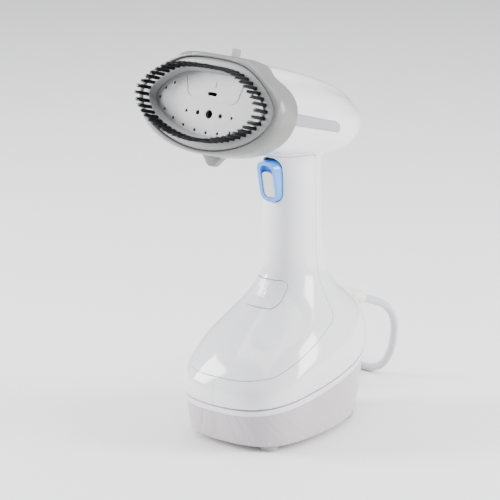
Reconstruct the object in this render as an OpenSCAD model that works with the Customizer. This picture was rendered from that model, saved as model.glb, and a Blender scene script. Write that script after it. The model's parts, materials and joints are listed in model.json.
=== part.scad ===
// Handheld garment steamer: a tilted steam head with a clip-on bristle ring,
// an upright handle with a trigger, and a wide foot that stands on its own
// lift-off water tank. All sizes are in millimetres, +Z is up, the steam plate
// faces -Y, and the origin is on the ground under the middle of the whole.

/* [Handle and foot] */
// Distance of the handle's own axis behind the origin
axis_y = 15; // [10:0.5:20]
// Height of the handle's narrowest part above the ground
handle_z = 180; // [170:1:190]
// Half width of the handle
handle_w = 19.5; // [18:0.5:22]
// Half width of the foot at its widest
foot_w = 51; // [44:1:60]
// Wall thickness of the white shells
wall = 2.4; // [2:0.1:3]
// Visible gap between neighbouring shells
seam = 0.5; // [0.3:0.1:0.8]

/* [Head] */
// Upward tilt of the steam plate's axis in degrees
pitch = 16; // [8:1:22]
// Half width of the outer frame around the steam plate
frame_w = 66; // [62:1:72]
// Half width of the loop on which the bristle tufts stand
loop_w = 55.5; // [52:0.5:58]

/* [Bristles] */
// Number of bristle tufts around the ring
tufts = 52; // [36:1:56]
// Length of a tuft that stands free of the ring
tuft_l = 14.4; // [8:0.2:18]
// Radius of a tuft
tuft_r = 1.5; // [1:0.1:1.6]

/* [Water tank] */
// Height of the tank's flat underside above the ground
tank_z = 3.5; // [3:0.5:5]
// Wall thickness of the tank
tank_wall = 2.2; // [1.8:0.1:3]

/* [Trigger] */
// Half width of the trigger
trigger_w = 8.5; // [7:0.5:9]
// Diameter of the trigger's hinge pin
pin_d = 3; // [2.5:0.1:4]

/* [Cord] */
// Diameter of the power cord
cord_d = 6; // [5:0.2:7]

/* [Hidden] */
// gap around a turning pin
run = 0.05;
// half of the gap where the two housings meet
parting = 0.1;
// facets around a fine and a coarse loft
loft_n = 56;
core_n = 38;
// steam plate centre, measured from the handle's axis
face_y = -92.5;
face_z = handle_z + 70.6;
// height of the head frame's oval centre above the plate centre
oval_v = 8.5;
// the tank top and the foot's lower edge lie in a plane that rises to the rear
rise = 0.13;
deck_z = 44.5;
// depth of the outer frame behind the plate
frame_u = 18;
// neck inside the frame: growth over the tuft loop, and start behind the plate
neck_off = 3.2;
neck_u = 4;
// trigger: hinge place and vertical reach
hinge_y = -13.5;
hinge_z = handle_z - 9.5;
trig_lo = handle_z - 6;
trig_hi = handle_z + 25;
trig_in = -15;
// release button: centre height and half sizes
button_z = 106.5;
button_w = 15;
button_h = 9;
// cord outlet
outlet_y = 50;
outlet_z = 90.6;
outlet_tilt = 20;
sleeve_l = 37;
// screws across the handle, head and foot: place along Y, height
shell_screws = [[13, handle_z + 7], [0, 106.5], [34, handle_z + 54], [50, 64]];
// rods of the tank's catch, and the water port of the tank
rod_x = 16.4;
port_y = -66;
// filling hole at the rear of the tank
fill_z = 30;
fill_face = 68.5;
cap_hinge_y = 70.1;
cap_hinge_z = 20;
// coil of cord on the ground, measured from the handle's axis
coil_x = -84;
coil_y = 96;
coil_r = 34;
tail_r = 25;

// handle and foot sections, bottom to top:
// height, front, rear, widest place, half width, front and rear roundness, slope
function deck_row(z) = [z, -88, 71, -35, foot_w - 1, 2.7, 2.0, rise];
foot_rows = [
    deck_row(deck_z),
    [50, -90, 72.5, -34, foot_w, 2.7, 2.0, rise],
    [60, -88.5, 72, -30, foot_w, 2.6, 2.0, 0.12],
    [70, -81, 69, -25, foot_w - 2.5, 2.4, 2.0, 0.10],
    [80, -69, 64, -18, foot_w - 7, 2.3, 2.0, 0.08],
    [90, -53, 54.5, -10, foot_w - 14, 2.2, 2.0, 0.06],
    [100, -38, 44, -4, 30, 2.2, 2.0, 0.04],
    [110, -29.5, 36, 0, 24.5, 2.2, 2.0, 0.02],
    [120, -25.5, 31.5, 1, handle_w + 2, 2.2, 2.0, 0],
    [135, -23.5, 28, 1, handle_w + 0.5, 2.2, 2.0, 0],
    [155, -23, 25, 0, handle_w, 2.2, 2.1, 0],
    [handle_z, -22.5, 23, 0, handle_w, 2.2, 2.2, 0],
    [handle_z + 20, -24, 22.5, 0, handle_w, 2.2, 2.2, -0.05],
    [handle_z + 32, -30, 25.5, 0, handle_w + 2, 2.2, 2.2, -0.1],
    [handle_z + 42, -40, 33, 0, handle_w + 6, 2.2, 2.2, -0.15]
];
// head sections, front to rear: distance behind the plate, half width,
// depth below and height above the oval's centre, centre height, hump half width
// and hump height
head_rows = [
    [frame_u + 0.6, frame_w - 3.5, 35, 28, oval_v, 36.5, 32.8],
    [30, frame_w - 4, 34.5, 28.5, 9, 36, 32.6],
    [45, frame_w - 6, 33, 29, 10, 35.5, 31.5],
    [70, frame_w - 9.5, 31, 28, 11.5, 33.5, 29],
    [95, frame_w - 15.5, 29, 26, 12, 30.5, 26.5],
    [118, frame_w - 24, 26, 23, 12, 26.5, 23.3],
    [136, 32, 21, 18, 12, 21.5, 18.2],
    [147, 22, 15, 12.5, 12, 14, 12.6],
    [152, 11, 7.5, 6.5, 12, 8, 6.5]
];

// ---- frames of reference ----

// moves its children onto the handle's axis
module at_axis() {
    translate([0, axis_y, 0]) children();
}

// the steam plate's frame: X sideways, Y up the plate, Z out of the plate
module in_head() {
    translate([0, axis_y + face_y, face_z]) rotate([90 - pitch, 0, 0]) children();
}

// a frame whose Z axis leaves the foot along the cord
module at_outlet() {
    translate([0, axis_y + outlet_y, outlet_z])
        rotate([-90 - outlet_tilt, 0, 0])
            children();
}

// a frame whose Z axis points forward, with X sideways and Y up
module facing_front(y, z) {
    translate([0, axis_y + y, z]) rotate([90, 0, 0]) children();
}

// joins its children into one mesh
module one_mesh() {
    resize([0, 0, 0]) union() children();
}

// ---- curves ----

function spow(value, power) = sign(value) * pow(abs(value), power);

// Catmull-Rom blend of four rows
function blend(a, b, c, d, t) =
    0.5 * (2 * b + (c - a) * t + (2 * a - 5 * b + 4 * c - d) * t * t
    + (3 * b - a - 3 * c + d) * t * t * t);

// rows with steps extra rows between each pair
function smooth(rows, steps) = [
    for (i = [0 : len(rows) - 2])
        for (j = [0 : steps - 1])
            blend(rows[max(i - 1, 0)], rows[i], rows[i + 1],
                rows[min(i + 2, len(rows) - 1)], j / steps),
    rows[len(rows) - 1]
];

// distance from the centre to a superellipse, in the direction a
function oval_r(a, wide, tall, n) =
    pow(pow(abs(cos(a)) / wide, n) + pow(abs(sin(a)) / tall, n), -1 / n);

// outer outline of the head: a wide oval with a squarer hump on top
function hood_r(a, wide, below, above, hump_w, hump_h) =
    sin(a) < 0 ? oval_r(a, wide, below, 2.2)
    : pow(pow(oval_r(a, wide, above, 2.2), 14) + pow(oval_r(a, hump_w, hump_h, 6), 14), 1 / 14);

// outline of the frame's outside, grown by off
function frame_r(a, off) =
    hood_r(a, frame_w + off, 37.5 + off, 29.8 + off, 38 + off, 34.5 + off);

// outline of the tuft loop, grown by off: an oval whose top is cut flat
function loop_r(a, off) =
    sin(a) < 0 ? oval_r(a, loop_w + off, 28 + off, 1.9)
    : pow(pow(oval_r(a, loop_w + off, 31.5 + off, 1.5), -14)
        + pow(oval_r(a, 90 + off, 24.8 + off, 3), -14), -1 / 14);

// a point of the plate's frame, from a direction and a radius
function head_xy(a, r) = [r * cos(a), oval_v + r * sin(a)];

// closed outline of the tuft loop, grown by off
function loop_outline(off, count) = [
    for (i = [0 : count - 1])
        let (a = 360 * i / count)
        head_xy(a, loop_r(a, off))
];

// section of the foot or handle, drawn in by inset
function foot_ring(row, inset, count) = [
    for (i = [0 : count - 1])
        let (
            a = 360 * (i + 0.5) / count,
            n = sin(a) < 0 ? row[5] : row[6],
            reach = (sin(a) < 0 ? row[3] - row[1] : row[2] - row[3]) - inset,
            y = row[3] + reach * spow(sin(a), 2 / n)
        )
        [(row[4] - inset) * spow(cos(a), 2 / n), y, row[0] + row[7] * y]
];

// section of the head, drawn in by inset, in the plate's frame
function head_ring(row, inset, count) = [
    for (i = [0 : count - 1])
        let (
            a = 360 * (i + 0.5) / count,
            r = hood_r(a, row[1] - inset, row[2] - inset, row[3] - inset,
                row[5] - inset, row[6] - inset)
        )
        [r * cos(a), row[4] + r * sin(a), -row[0]]
];

// points of a round coil spring
function spring_path(r, turns, height, per_turn) = [
    for (i = [0 : turns * per_turn])
        [r * cos(360 * i / per_turn), r * sin(360 * i / per_turn),
            height * i / (turns * per_turn)]
];

// ---- building blocks ----

// solid through a stack of rings that have the same number of points
module loft(rings) {
    n = len(rings[0]);
    last = len(rings) - 1;
    polyhedron(
        points = [for (ring = rings) for (p = ring) p],
        faces = concat(
            [[for (i = [0 : n - 1]) i]],
            [[for (i = [n - 1 : -1 : 0]) last * n + i]],
            [for (j = [0 : last - 1]) for (i = [0 : n - 1])
                [j * n + (i + 1) % n, j * n + i, (j + 1) * n + i]],
            [for (j = [0 : last - 1]) for (i = [0 : n - 1])
                [j * n + (i + 1) % n, (j + 1) * n + i, (j + 1) * n + (i + 1) % n]]
        )
    );
}

// closed band around the head; each profile point is
// [1 for the frame's outline or 0 for the tuft loop, growth, height]
module band(profile, count) {
    m = len(profile);
    points = [
        for (i = [0 : count - 1])
            let (a = 360 * i / count)
            for (p = profile)
                let (q = head_xy(a, p[0] * frame_r(a, p[1]) + (1 - p[0]) * loop_r(a, p[1])))
                [q.x, q.y, p[2]]
    ];
    polyhedron(
        points = points,
        faces = [
            for (i = [0 : count - 1])
                for (j = [0 : m - 1])
                    let (k = (i + 1) % count, l = (j + 1) % m)
                    [i * m + j, k * m + j, k * m + l, i * m + l]
        ]
    );
}

// round tube with solid ends along a list of points, facets around it
module tube(path, r, facets) {
    last = len(path) - 1;
    rings = [
        for (i = [0 : last])
            let (
                ahead = path[min(i + 1, last)] - path[max(i - 1, 0)],
                dir = ahead / norm(ahead),
                lean = abs(dir.z) > 0.9 ? [0, 1, 0] : [0, 0, 1],
                side = cross(lean, dir) / norm(cross(lean, dir)),
                up = cross(dir, side)
            )
            [for (k = [0 : facets - 1])
                path[i] + r * (cos(360 * k / facets) * side + sin(360 * k / facets) * up)]
    ];
    loft(rings);
}

// upright cylinder with a hole
module sleeve(r_out, r_in, h) {
    difference() {
        cylinder(r = r_out, h = h, $fn = 40);
        translate([0, 0, -1]) cylinder(r = r_in, h = h + 2, $fn = 40);
    }
}

// rounded rectangle centred on the origin
module soft_rect(w, h, r) {
    union() {
        square([w - 2 * r, h], center = true);
        square([w, h - 2 * r], center = true);
        for (x = [-1, 1])
            for (y = [-1, 1])
                translate([x * (w / 2 - r), y * (h / 2 - r)]) circle(r = r, $fn = 32);
    }
}

// screw with a pan head: the head's underside is at zero and the shank goes down
module screw(shank_r, length) {
    cylinder(r = shank_r * 1.9, h = 2, $fn = 24);
    translate([0, 0, -length]) cylinder(r = shank_r, h = length + 0.5, $fn = 24);
}

// ---- outer forms ----

// the foot and handle drawn in by inset, with the lowest section moved down by below
module foot_form(inset, count, steps, below = 0) {
    rows = smooth(foot_rows, steps);
    at_axis()
        loft([
            for (i = [0 : len(rows) - 1])
                foot_ring(i == 0 ? deck_row(deck_z - below) : rows[i], inset, count)
        ]);
}

module head_form(inset, count, steps) {
    rows = smooth(head_rows, steps);
    in_head()
        translate([0, 0, inset])
            loft([for (i = [len(rows) - 1 : -1 : 0]) head_ring(rows[i], inset, count)]);
}

// neck that carries the steam plate and enters the brush frame
module neck(off, front, rear) {
    in_head()
        translate([0, 0, -rear])
            linear_extrude(height = rear - front)
                polygon(loop_outline(off, loft_n));
}

module outer_form() {
    foot_form(0, loft_n, 2);
    head_form(0, loft_n, 2);
    neck(neck_off, neck_u, frame_u + 4);
}

module inner_form() {
    foot_form(wall, core_n, 1, 3);
    intersection() {
        head_form(wall, core_n, 1);
        in_head() translate([-100, -100, -220 - frame_u]) cube(217);
    }
    neck(neck_off - wall, neck_u - 2, frame_u + 8);
}

// the front cover's outline seen from the side, grown by grow
module cover_region(grow) {
    rotate([90, 0, 90])
        translate([axis_y, 0, -80])
            linear_extrude(height = 160)
                offset(r = 9 + grow, $fn = 24)
                    offset(delta = -9)
                        polygon([
                            [5, handle_z + 29],
                            [5, 88],
                            [-1, 85],
                            [-68, 57.5],
                            [-84, 54.5],
                            [-130, 54.5],
                            [-130, handle_z + 29]
                        ]);
}

// hole in the front cover for the trigger
module trigger_window() {
    facing_front(trig_in, (trig_hi + trig_lo) / 2 + 0.9)
        linear_extrude(height = 30)
            soft_rect(2 * trigger_w + 1.2, trig_hi - trig_lo + 3.4, 7.2);
}

// hole in the front cover for the release button
module button_window() {
    facing_front(-10, button_z)
        linear_extrude(height = 40)
            soft_rect(2 * button_w + 1.2, 2 * button_h + 1.2, 5.6);
}

// hole through the rear of the foot for the cord socket
module outlet_hole() {
    at_outlet() translate([0, 0, -14]) cylinder(r = 6.4, h = 40, $fn = 32);
}

// slanted recess on the left side of the head for the strip
module strip_recess(grow, inner) {
    in_head()
        rotate([0, -90, 0])
            translate([0, 0, inner])
                linear_extrude(height = 70 - inner)
                    polygon([
                        [4 - frame_u, 2.8 - grow],
                        [-85.5 - grow, 4 - grow],
                        [-85.5 - grow, 6],
                        [-82 - grow, 9.2 + grow],
                        [-75, 11.2 + grow],
                        [4 - frame_u, 11.2 + grow]
                    ]);
}

// slot in the head's top for the brush latch
module latch_slot(grow) {
    in_head()
        translate([-1.4 - grow, 30, -27 - grow])
            cube([2.8 + 2 * grow, 25, 13.5 + 2 * grow]);
}

// white shells before they are parted
module shell() {
    difference() {
        outer_form();
        inner_form();
        trigger_window();
        button_window();
        outlet_hole();
        latch_slot(0.5);
    }
}

// pillars around the shell screws
module screw_bosses() {
    intersection() {
        union() {
            foot_form(1, core_n, 1);
            head_form(1, core_n, 1);
        }
        for (p = shell_screws)
            translate([-70, axis_y + p.x, p.y])
                rotate([0, 90, 0]) cylinder(r = 3.8, h = 140, $fn = 20);
    }
}

// holes for the shell screws, with a deep well from the left side
module screw_holes() {
    for (p = shell_screws)
        translate([0, axis_y + p.x, p.y])
            rotate([0, -90, 0]) {
                translate([0, 0, -9]) cylinder(r = 1.7, h = 30, $fn = 16);
                translate([0, 0, 8.9]) cylinder(r = 3.1, h = 70, $fn = 20);
            }
}

// left half of the rear and head shell
module half_shell() {
    intersection() {
        difference() {
            union() {
                shell();
                screw_bosses();
            }
            cover_region(seam / 2);
            difference() {
                strip_recess(0.2, 0);
                head_form(1.2, core_n, 1);
            }
        }
        translate([-200 - parting, -200, 0]) cube([200, 400, 400]);
    }
}

// ---- shells and trim ----

module left_housing() {
    color("white")
        one_mesh()
            difference() {
                half_shell();
                screw_holes();
            }
}

module right_housing() {
    color("white")
        one_mesh()
            difference() {
                mirror([1, 0, 0]) half_shell();
                screw_holes();
            }
}

module front_cover() {
    color("white")
        one_mesh()
            intersection() {
                shell();
                cover_region(-seam / 2);
            }
}

// sloping floor of the foot, with the socket that the tank's intake enters
module base_deck() {
    color("gainsboro")
        difference() {
            union() {
                one_mesh()
                    at_axis()
                        loft([
                            foot_ring(deck_row(deck_z + 1), wall + 0.2, core_n),
                            foot_ring(deck_row(deck_z + 3.4), wall + 0.2, core_n)
                        ]);
                at_axis() translate([0, port_y, deck_z - 6]) cylinder(r = 8, h = 11, $fn = 40);
                at_axis() translate([0, port_y, deck_z + 4]) cylinder(r = 3, h = 3, $fn = 28);
            }
            at_axis() translate([0, port_y, deck_z - 12]) cylinder(r = 5.8, h = 14.8, $fn = 40);
            // slots for the rods of the tank's catch
            for (side = [-1, 1])
                at_axis() translate([side * rod_x - 2.6, -23, deck_z - 7]) cube([5.2, 11, 20]);
        }
}

// lilac-grey inset on the left side of the head
module left_strip() {
    color([0.72, 0.7, 0.75])
        one_mesh()
            intersection() {
                strip_recess(0, 10);
                difference() {
                    head_form(0.2, loft_n, 2);
                    head_form(1.2, core_n, 1);
                }
                in_head() translate([-100, -100, -200 - frame_u - 1]) cube(200);
            }
}

module right_strip() {
    mirror([1, 0, 0]) left_strip();
}

// ---- steam plate ----

// holes of the plate: [sideways, up, radius], mirrored where sideways isn't zero
plate_holes = [
    [0, 0, 3.15],
    [10.6, 0, 1.7],
    [21.2, 0, 1.15],
    [0, -13.3, 1.15],
    [10.7, -12.6, 1.15],
    [21.8, -10.4, 1.15],
    [32.5, -6.8, 1.15],
    [41.9, -1.4, 1.15],
    [48, 6.5, 1.15],
    [43.9, 13.6, 1.15],
    [36.4, 18.2, 1.15]
];

module plate_openings() {
    for (h = plate_holes)
        for (side = h[0] == 0 ? [1] : [-1, 1])
            translate([side * h[0], h[1]]) circle(r = h[2], $fn = 24);
    translate([0, 14.5]) soft_rect(8.5, 2.6, 1.25);
}

// shape inside the plate's raised bead
module bead_shape(inset) {
    polygon([
        for (a = [180 : 15 : 270])
            [-17 + (8 - inset) * cos(a), 17 + (8 - inset) * sin(a)],
        for (a = [270 : 15 : 360])
            [17 + (8 - inset) * cos(a), 17 + (8 - inset) * sin(a)],
        [27.5 - inset, 24.5],
        [-27.5 + inset, 24.5]
    ]);
}

module steam_plate() {
    color([0.78, 0.78, 0.79])
        in_head()
            difference() {
                union() {
                    translate([0, 0, -2.5])
                        linear_extrude(height = 2.5) polygon(loop_outline(-1.5, loft_n));
                    linear_extrude(height = 0.35)
                        difference() {
                            bead_shape(0);
                            bead_shape(1.3);
                        }
                    translate([0, 21.7, 0])
                        linear_extrude(height = 0.3) soft_rect(4.4, 5, 1);
                }
                translate([0, 0, -3])
                    linear_extrude(height = 4) plate_openings();
            }
}

// soft ring between the plate's edge and the neck
module plate_seal() {
    color([0.35, 0.35, 0.36])
        in_head()
            band([
                [0, -1.4, -2.6],
                [0, -1.4, -0.6],
                [0, neck_off - wall - 0.1, -1.6],
                [0, neck_off - wall - 0.1, -neck_u - 2],
                [0, -3, -neck_u - 2],
                [0, -3, -2.6]
            ], loft_n);
}

// ---- bristle attachment ----

module brush_frame() {
    color([0.66, 0.67, 0.65])
        in_head()
            one_mesh()
                difference() {
                    union() {
                        band([
                            [0, 6.8, 4.6],
                            [0, 7.6, 5],
                            [1, -0.8, 2],
                            [1, 0, -3],
                            [1, 0.2, -10],
                            [1, -0.6, -frame_u],
                            [1, -2.4, -frame_u],
                            [1, -2, -4.5],
                            [0, 6, -2.5],
                            [0, 3.9, -2.5],
                            [0, 3.9, 0],
                            [0, 6.8, 0]
                        ], loft_n);
                        // pull tab under the frame
                        translate([0, -33, -frame_u + 0.5])
                            linear_extrude(height = 6.5)
                                polygon([
                                    [-13, 6.2],
                                    [-8, 3],
                                    [-4, -1.6],
                                    [-1.6, -3.2],
                                    [1.6, -3.2],
                                    [4, -1.6],
                                    [8, 3],
                                    [13, 6.2],
                                    [8, 6.9],
                                    [-8, 6.9]
                                ]);
                    }
                    translate([-2, 32, -frame_u - 1]) cube([4, 20, 5]);
                }
}

module brush_ring() {
    color([0.78, 0.78, 0.8])
        in_head()
            band([
                [0, -4.2, 0.6],
                [0, -2.5, 6],
                [0, -1.9, 6.4],
                [0, -1.6, 5],
                [0, 1.8, 5],
                [0, 4.5, 4.6],
                [0, 6.2, 3.2],
                [0, 6.2, 0],
                [0, 3, 0],
                [0, 0, 0.6]
            ], loft_n);
}

// running length along the tuft loop, for placing tufts evenly
loop_pts = [for (a = [0 : 3 : 360]) head_xy(a, loop_r(a, 0))];
loop_steps = [for (i = [1 : len(loop_pts) - 1]) norm(loop_pts[i] - loop_pts[i - 1])];
loop_run = [for (i = 0, s = 0; i <= len(loop_steps);
    s = s + (i < len(loop_steps) ? loop_steps[i] : 0), i = i + 1) [s, 3 * i]];
loop_len = loop_run[len(loop_run) - 1][0];

module bristle_tufts() {
    color([0.05, 0.05, 0.05])
        in_head()
            for (i = [0 : tufts - 1])
                let (a = lookup(loop_len * i / tufts, loop_run), q = head_xy(a, loop_r(a, 0)))
                translate([q.x, q.y, 5]) cylinder(r = tuft_r, h = tuft_l, $fn = 16);
}

// sliding catch on top of the head that holds the frame
module brush_latch() {
    color([0.82, 0.82, 0.83])
        in_head() {
            translate([-1.3, 31.6, -21.5]) cube([2.6, 17.9, 7]);
            translate([-4, 31.6, -26]) cube([8, 1.6, 10]);
        }
}

module latch_spring() {
    color("silver")
        in_head()
            translate([0, 32.2, -42.4])
                tube(spring_path(1.7, 6, 12, 10), 0.35, 5);
}

// ---- steam generator ----

screw_spots = [[-34, -5], [34, -5], [-34, 18], [34, 18]];
boiler_v = 6.5;

module boiler_outline() {
    translate([0, boiler_v]) soft_rect(80, 34, 12);
}

module boiler_body() {
    color([0.7, 0.7, 0.72])
        in_head()
            difference() {
                translate([0, 0, -28]) linear_extrude(height = 25.5) boiler_outline();
                translate([0, boiler_v, -18]) linear_extrude(height = 16) soft_rect(60, 20, 8);
                for (p = screw_spots)
                    translate([p.x, p.y, -29]) cylinder(r = 1.6 + run, h = 16, $fn = 24);
            }
}

module boiler_cover() {
    color([0.62, 0.62, 0.64])
        in_head()
            difference() {
                union() {
                    translate([0, 0, -31]) linear_extrude(height = 3) boiler_outline();
                    translate([0, 7, -40]) cylinder(r = 2.6, h = 10, $fn = 28);
                }
                translate([0, 7, -41]) cylinder(r = 1.4, h = 14, $fn = 28);
                for (p = screw_spots)
                    translate([p.x, p.y, -32]) cylinder(r = 1.6 + run, h = 5, $fn = 24);
            }
}

module heating_element() {
    color([0.55, 0.5, 0.45])
        in_head()
            translate([0, 7, -34.2]) {
                for (y = [-10, 10])
                    translate([-30, y, 0]) rotate([0, 90, 0]) cylinder(r = 3.2, h = 52, $fn = 28);
                translate([22, 0, 0])
                    difference() {
                        rotate_extrude($fn = 48) translate([10, 0]) circle(r = 3.2, $fn = 28);
                        translate([-20, -20, -5]) cube([20, 40, 10]);
                    }
            }
}

module thermostat() {
    color([0.85, 0.82, 0.75])
        in_head()
            translate([-14, 7, -38]) {
                cylinder(r = 6, h = 7, $fn = 36);
                for (x = [-3, 3])
                    translate([x - 1.5, -0.4, -4]) cube([3, 0.8, 4.5]);
            }
}

module thermal_fuse() {
    color([0.8, 0.72, 0.5])
        in_head()
            translate([7, 7, -33.4]) rotate([0, 90, 0]) cylinder(r = 2.4, h = 13, $fn = 24);
}

// sheet behind the boiler; its legs stand on the boiler cover
module heat_shield() {
    color([0.8, 0.8, 0.8])
        in_head()
            difference() {
                union() {
                    translate([0, 7, -44]) linear_extrude(height = 1.2) soft_rect(90, 40, 10);
                    translate([-5, 26, -44]) cube([10, 9, 1.2]);
                    for (x = [-39, 39])
                        translate([x, 7, -43]) cylinder(r = 2, h = 12, $fn = 24);
                }
                translate([0, 7, -45]) cylinder(r = 5, h = 3, $fn = 32);
            }
}

module boiler_screws() {
    color("silver")
        in_head()
            for (p = screw_spots)
                translate([p.x, p.y, -31]) rotate([180, 0, 0]) screw(1.6, 12);
}

// ---- trigger ----

trig_mid = (trig_hi + trig_lo) / 2;
trig_tall = trig_hi - trig_lo;

// block that a slanted front face cuts from the trigger's stem
module slant_front(depth) {
    rotate([90, 0, 90])
        translate([axis_y, 0, -20])
            linear_extrude(height = 40)
                polygon([
                    [-24.5 + depth, trig_lo - 1],
                    [-31 + depth, trig_hi + 1],
                    [-60, trig_hi + 1],
                    [-60, trig_lo - 1]
                ]);
}

module trigger() {
    color([0.5, 0.75, 0.95])
        difference() {
            union() {
                facing_front(-13, trig_mid)
                    linear_extrude(height = 20) soft_rect(2 * trigger_w, trig_tall, 6.5);
                // lug around the hinge pin
                translate([-6, axis_y + hinge_y, hinge_z])
                    rotate([0, 90, 0]) cylinder(r = 3.4, h = 12, $fn = 32);
                translate([-6, axis_y + hinge_y - 2.6, hinge_z])
                    cube([12, 5.2, 6]);
            }
            slant_front(0);
            // pocket for the lock slider
            intersection() {
                facing_front(-20, trig_mid)
                    linear_extrude(height = 20)
                        soft_rect(2 * trigger_w - 5.6, trig_tall - 6, 4.2);
                slant_front(4.5);
            }
            translate([-10, axis_y + hinge_y, hinge_z])
                rotate([0, 90, 0]) cylinder(r = pin_d / 2 + run, h = 20, $fn = 32);
        }
}

// slider in the trigger's face that locks the steam on
module trigger_lock() {
    color([0.9, 0.9, 0.9])
        intersection() {
            facing_front(-18, trig_mid - 2.4)
                linear_extrude(height = 20)
                    soft_rect(2 * trigger_w - 6.4, trig_tall - 11.4, 3.8);
            difference() {
                slant_front(4.2);
                slant_front(0.8);
            }
        }
}

module trigger_pin() {
    color("silver")
        translate([-8.4, axis_y + hinge_y, hinge_z])
            rotate([0, 90, 0]) cylinder(r = pin_d / 2, h = 16.8, $fn = 32);
}

// saddle that carries the hinge pin and the switch
module trigger_bracket() {
    color([0.35, 0.35, 0.37])
        difference() {
            union() {
                translate([-11.6, axis_y - 2.5, hinge_z - 5]) cube([23.2, 2, 40]);
                // leg that stands on a pillar of the shell
                translate([3, axis_y - 1, handle_z + 4]) cube([5, 10.2, 6]);
                for (x = [-8.4, 6.4])
                    translate([x, axis_y + hinge_y - 3.5, hinge_z - 5])
                        cube([2, -hinge_y + 3, 8]);
            }
            translate([-13, axis_y + hinge_y, hinge_z])
                rotate([0, 90, 0]) cylinder(r = pin_d / 2, h = 26, $fn = 32);
        }
}

module trigger_spring() {
    color("silver")
        translate([0, axis_y - 3, hinge_z + 8.5])
            rotate([90, 0, 0])
                tube(spring_path(2.2, 6, 8.4, 10), 0.35, 5);
}

switch_z = hinge_z + 21.5;

module micro_switch() {
    color([0.15, 0.15, 0.16])
        difference() {
            translate([-9, axis_y - 9.2, switch_z - 5]) cube([18, 6.7, 10]);
            translate([-2, axis_y - 10, switch_z - 2]) cube([4, 5, 4]);
        }
}

module switch_plunger() {
    color([0.8, 0.2, 0.15])
        translate([-1.7, axis_y - 12.7, switch_z - 1.7]) cube([3.4, 5, 3.4]);
}

// ---- tank release ----

module release_button() {
    color("white")
        one_mesh() {
            intersection() {
                facing_front(-10, button_z)
                    linear_extrude(height = 40)
                        soft_rect(2 * button_w, 2 * button_h, 4.6);
                difference() {
                    foot_form(-0.5, loft_n, 2);
                    foot_form(wall, core_n, 1);
                }
            }
            // raised sign: a slanted stroke over a bar
            intersection() {
                facing_front(-10, button_z)
                    linear_extrude(height = 40) {
                        translate([0, -2]) square([9, 0.9], center = true);
                        translate([0, 2]) rotate(40) square([5, 0.9], center = true);
                    }
                difference() {
                    foot_form(-0.9, loft_n, 2);
                    foot_form(0.5, loft_n, 1);
                }
            }
        }
}

module button_spring() {
    color("silver")
        translate([0, axis_y - 4.3, button_z])
            rotate([90, 0, 0])
                tube(spring_path(3, 5, 8, 10), 0.4, 5);
}

// fork from the button down to the tank: a stem, a cross bar and two rods
module tank_latch() {
    color([0.3, 0.3, 0.32])
        at_axis() {
            translate([-5, -35.5, button_z - 7.5]) cube([10, 17.5, 2.5]);
            translate([-rod_x - 1.4, -20, button_z - 7.5]) cube([2 * rod_x + 2.8, 4, 4]);
            translate([-6, -20, button_z - 5]) cube([12, 4, 9]);
            for (side = [-1, 1])
                translate([side * rod_x - 1.4, 0, deck_z - 5.2]) {
                    translate([0, -20, 0]) cube([2.8, 4, button_z - deck_z]);
                    translate([0, -21.8, 0]) cube([2.8, 3, 1.8]);
                }
        }
}

// ---- tank ----

tank_rows = [
    [tank_z, -78, 57, -35, foot_w - 7, 2.8, 2, 0],
    [tank_z + 1.6, -81, 60, -35, foot_w - 4.4, 2.8, 2, 0],
    [tank_z + 5.5, -82.5, 62, -35, foot_w - 3.4, 2.8, 2, 0.01],
    [deck_z - 4.8, -87, 70, -35, foot_w - 1.6, 2.7, 2, rise]
];
hollow_rows = [
    [tank_z + tank_wall, -78, 57, -35, foot_w - 7, 2.8, 2, 0],
    [tank_z + tank_wall + 1.6, -81, 60, -35, foot_w - 4.4, 2.8, 2, 0],
    [tank_z + 8, -82.5, 62, -35, foot_w - 3.4, 2.8, 2, 0.01],
    [deck_z - 3, -87, 70, -35, foot_w - 1.6, 2.7, 2, rise]
];

module water_tank() {
    color([0.9, 0.88, 0.9, 0.6])
        difference() {
            one_mesh()
                at_axis()
                    difference() {
                        union() {
                            loft([for (row = tank_rows) foot_ring(row, 0, loft_n)]);
                            // rim of the filling hole
                            translate([0, fill_face - 9, fill_z])
                                rotate([-90, 0, 0]) cylinder(r = 8, h = 9, $fn = 40);
                            // lugs of the cap's hinge
                            for (x = [-6.3, 4.3])
                                translate([x, 58, cap_hinge_z - 2.2])
                                    cube([2, cap_hinge_y - 56.2, 4.4]);
                        }
                        loft([for (row = hollow_rows) foot_ring(row, tank_wall, core_n)]);
                    }
            translate([0, axis_y + fill_face - 22, fill_z])
                rotate([-90, 0, 0]) cylinder(r = 6, h = 30, $fn = 40);
            translate([-10, axis_y + cap_hinge_y, cap_hinge_z])
                rotate([0, 90, 0]) cylinder(r = 1.2 + run, h = 20, $fn = 24);
        }
}

// lid ring plate on the tank, seen as a pale strip under the foot
module tank_lid() {
    color([0.93, 0.93, 0.95])
        difference() {
            one_mesh()
                at_axis()
                    loft([
                        foot_ring([deck_z - 4.8, -87.6, 70.6, -35, foot_w - 1.1, 2.7, 2, rise],
                            0, core_n + 16),
                        foot_ring([deck_z - 0.7, -88.2, 71.2, -35, foot_w - 0.8, 2.7, 2, rise],
                            0, core_n + 16)
                    ]);
            at_axis() translate([0, port_y, 0]) cylinder(r = 5, h = 60, $fn = 36);
            // pockets for the rods of the catch
            for (side = [-1, 1])
                at_axis() translate([side * rod_x - 3, -25, deck_z - 5.6]) cube([6, 13, 20]);
        }
}

// tube that draws water from the bottom of the tank
module intake_tube() {
    color([0.85, 0.85, 0.88])
        at_axis()
            translate([0, port_y, 0]) {
                translate([0, 0, tank_z + 6]) sleeve(3, 1.8, deck_z - tank_z - 4.5);
                translate([0, 0, deck_z - 4.6 + rise * port_y]) sleeve(4.9, 1.8, 5.6);
            }
}

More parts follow.
